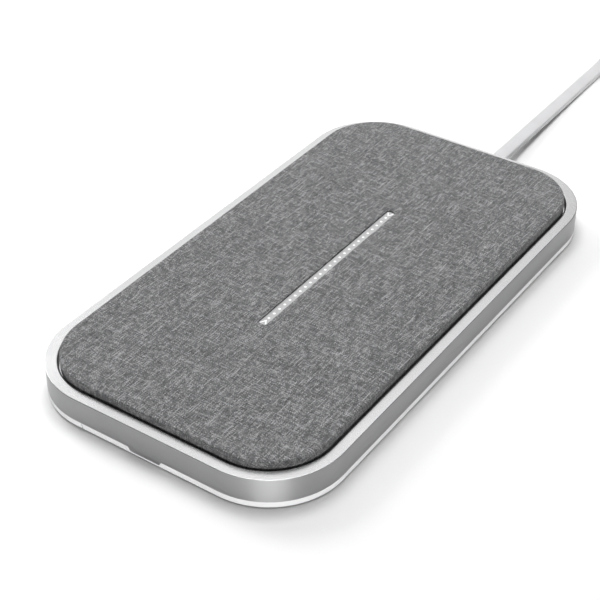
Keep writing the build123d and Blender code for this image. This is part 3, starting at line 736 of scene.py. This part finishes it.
def cover_rings():
    """Rings of the cover's outer face from the hem to the slot, then back along its inner face.

    Each has its points and its cloth coordinates.
    """
    rings = []
    slot = rounded(*SLOT_HALF, SLOT_CORNER)
    wall_height = COVER_TOP - CROWN - COVER_LOW

    def ring(inset, z, reach):
        flat = outline(inset)
        cloth = flat
        if reach:
            base = outline(COVER_INSET + CROWN)
            outward = outline(COVER_INSET + CROWN - 1 * MM) - base
            cloth = base + outward * (reach / MM)
        rings.append((np.column_stack([flat, np.full(len(flat), z)]), cloth))

    quarter = pi / 2 * CROWN
    for i in range(4, 0, -1):
        ring(COVER_INSET + HEM * i / 4, COVER_LOW, quarter + wall_height + HEM * i / 4)
    for i in range(5):
        ring(COVER_INSET, COVER_LOW + wall_height * i / 4 * 0.999, quarter + wall_height * (1 - i / 4))
    for i in range(1, 10):
        t = pi / 2 * i / 9
        inset = COVER_INSET + CROWN * (1 - cos(t))
        ring(inset, COVER_TOP - CROWN + CROWN * sin(t), quarter * (1 - i / 9) + 1e-9)
    edge = outline(COVER_INSET + CROWN)
    steps = 34
    for i in range(1, steps + 1):
        s = i / steps
        s = s + 0.10 * sin(2 * pi * s) / (2 * pi)
        flat = edge * (1 - s) + slot * s
        sag = 0.045 * MM * ripple(flat, 9 * MM, 0.7) * np.sin(pi * s)
        top = COVER_TOP - 0.03 * MM + np.minimum(sag, 0.03 * MM)
        if i == steps:
            top = np.full(len(flat), COVER_TOP - 0.16 * MM)
        rings.append((np.column_stack([flat, top]), flat))
    outer_slot = rounded(SLOT_HALF[0] + 0.16 * MM, SLOT_HALF[1] + 0.16 * MM, SLOT_CORNER + 0.16 * MM)
    lip = np.column_stack([outer_slot, np.full(len(slot), COVER_TOP - 0.04 * MM)])
    rings.insert(len(rings) - 1, (lip, outer_slot))
    for depth in (0.5, 1.05, 1.6):
        wall = np.column_stack([slot, np.full(len(slot), COVER_TOP - depth * MM)])
        rings.append((wall, slot * (1 - 0.05 * depth)))
    back = rounded(SLOT_HALF[0] + CLOTH, SLOT_HALF[1] + CLOTH, SLOT_CORNER + CLOTH)
    for z in (COVER_TOP - 1.6 * MM, COVER_TOP - CLOTH - 0.1 * MM):
        rings.append((np.column_stack([back, np.full(len(back), z)]), back))
    inner = outline(COVER_INSET + CROWN + 0.3 * MM)
    for i in range(1, 6):
        s = i / 5
        flat = back * (1 - s) + inner * s
        rings.append((np.column_stack([flat, np.full(len(flat), COVER_TOP - CLOTH - 0.1 * MM)]), flat))
    for inset, z in (
        (COVER_INSET + CLOTH, COVER_TOP - CROWN),
        (COVER_INSET + CLOTH, COVER_LOW + CLOTH),
        (COVER_INSET + HEM, COVER_LOW + CLOTH),
    ):
        flat = outline(inset)
        rings.append((np.column_stack([flat, np.full(len(flat), z)]), flat))
    return rings


def make_cover():
    rings = cover_rings()
    count = len(rings[0][0])
    points = np.concatenate([ring for ring, _ in rings])
    cloth = np.concatenate([mark for _, mark in rings])
    faces = ring_faces(len(rings), count, closed_rings=True)
    cover = mesh_piece("cover", points, faces, WOVEN)
    marks = np.column_stack([cloth, np.zeros(len(cloth))]).astype(np.float32)
    attribute = cover.data.attributes.new("cloth", "FLOAT_VECTOR", "POINT")
    attribute.data.foreach_set("vector", marks.ravel())
    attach(cover, "root")
    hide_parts("fabric_cover")
    return cover


cover = make_cover()


# ---- materials of the CAD pieces ----
def paint(material, *names):
    for name in names:
        data = nodes[name].data
        data.materials.clear()
        data.materials.append(material)


WHITE_PLASTIC = moulded("white_plastic", (0.80, 0.80, 0.77), 0.35)
DARK_PLASTIC = moulded("dark_plastic", (0.07, 0.07, 0.075), 0.55)
CHIP = moulded("chip_epoxy", (0.03, 0.03, 0.032), 0.5, 5000)
STEEL = metal("screw_steel", (0.50, 0.50, 0.51), 0.33)
COPPER = metal("copper_wire", (0.72, 0.34, 0.17), 0.3)
SOLDER = metal("solder", (0.62, 0.62, 0.63), 0.25)
NICKEL = metal("plug_nickel", (0.66, 0.66, 0.66), 0.22, (0.3, 1, 1), 0.12)
GOLD = metal("contact_gold", (0.83, 0.60, 0.26), 0.25)

paint(ALLOY, "alloy_frame")
paint(BASE_PLASTIC, "base_plate")
paint(rubber("foot_rubber", (0.10, 0.10, 0.105)), "foot_ring")
paint(STEEL, "base_screws", "board_screws", "clamp_screws")
paint(DARK_PLASTIC, "top_tray", "coil_holder", "lead_clamp")
paint(rubber("foam", (0.12, 0.12, 0.125), 0.9), "foam_layer")
paint(translucent("light_guide", (0.43, 0.43, 0.435)), "light_bar")
paint(translucent("light_window", (0.82, 0.82, 0.82), 0.12), "light_dots", "front_chevron", "rear_chevron")
paint(moulded("polyimide", (0.45, 0.22, 0.05), 0.35), "led_strip", "led_ribbon")
paint(WHITE_PLASTIC, "status_leds", "lead_socket", "lead_connector", "ribbon_socket", "plug_tongue")
paint(rubber("ferrite", (0.05, 0.05, 0.055), 0.6), "ferrite_sheet")
paint(COPPER, "front_charging_coil", "middle_charging_coil", "rear_charging_coil", "coil_leads")
paint(SOLDER, "coil_terminals")
paint(CHIP, "coil_thermistor", "power_inductor", "power_controller", "bridge_chips")
paint(moulded("solder_resist", (0.02, 0.14, 0.06), 0.35), "main_board")
paint(moulded("capacitor_body", (0.42, 0.30, 0.20), 0.45), "resonant_capacitors", "input_capacitors")
paint(moulded("core_insulation", (0.50, 0.05, 0.04), 0.4), "lead_cores")
paint(moulded("inner_jacket", (0.62, 0.62, 0.63), 0.45), "lead_inner_run")
paint(RELIEF, "plug_neck")
paint(moulded("plug_plastic", (0.66, 0.66, 0.67), 0.42), "plug_body")
paint(NICKEL, "plug_shell")
paint(GOLD, "plug_contacts")


# ---- stage ----
FLOOR_HALF = 3.0


def direction(azimuth, elevation):
    """A unit vector by its plan angle from +X and its height above the horizon, in degrees."""
    a, e = radians(azimuth), radians(elevation)
    return Vector((cos(a) * cos(e), sin(a) * cos(e), sin(e)))


def area_light(name, azimuth, elevation, distance, size, power):
    data = bpy.data.lights.new(name, "AREA")
    data.shape = "RECTANGLE"
    data.size, data.size_y = size
    data.energy = power
    lamp = link(name, data)
    away = direction(azimuth, elevation)
    lamp.location = away * distance
    lamp.rotation_mode = "QUATERNION"
    lamp.rotation_quaternion = away.to_track_quat("Z", "Y")
    return lamp


def make_stage():
    floor_points = [(-FLOOR_HALF, -FLOOR_HALF, 0), (FLOOR_HALF, -FLOOR_HALF, 0)]
    floor_points += [(FLOOR_HALF, FLOOR_HALF, 0), (-FLOOR_HALF, FLOOR_HALF, 0)]
    paper = Nodes("floor_paper", (0.91, 0.91, 0.91), 0.9)
    paper.set("Specular IOR Level", 0.1)
    stage_floor = mesh_piece("floor", floor_points, [(0, 1, 2, 3)], paper.material, False)
    world = bpy.data.worlds.new("studio")
    bpy.context.scene.world = world
    world.use_nodes = True
    backdrop = world.node_tree.nodes["Background"]
    backdrop.inputs["Color"].default_value = (1, 1, 1, 1)
    backdrop.inputs["Strength"].default_value = 0.01
    area_light("overhead", 125, 78, 1.5, (0.9, 0.9), 20.4)
    area_light("rear", 130, 35, 1.5, (1.1, 1.1), 7.7)
    area_light("rear_left", 165, 31, 1.5, (0.6, 0.6), 10.0)
    area_light("low_strip", -55, 0.2, 1.3, (0.9, 0.008), 9.0)
    area_light("front_card", -55, 2.0, 1.3, (0.30, 0.07), 3)
    area_light("front_band", -55, 20, 1.5, (2.2, 0.5), 1.8)
    area_light("right_card", 12, 13, 1.4, (0.6, 0.3), 1.0)
    bpy.context.scene.view_settings.view_transform = "Standard"


make_stage()
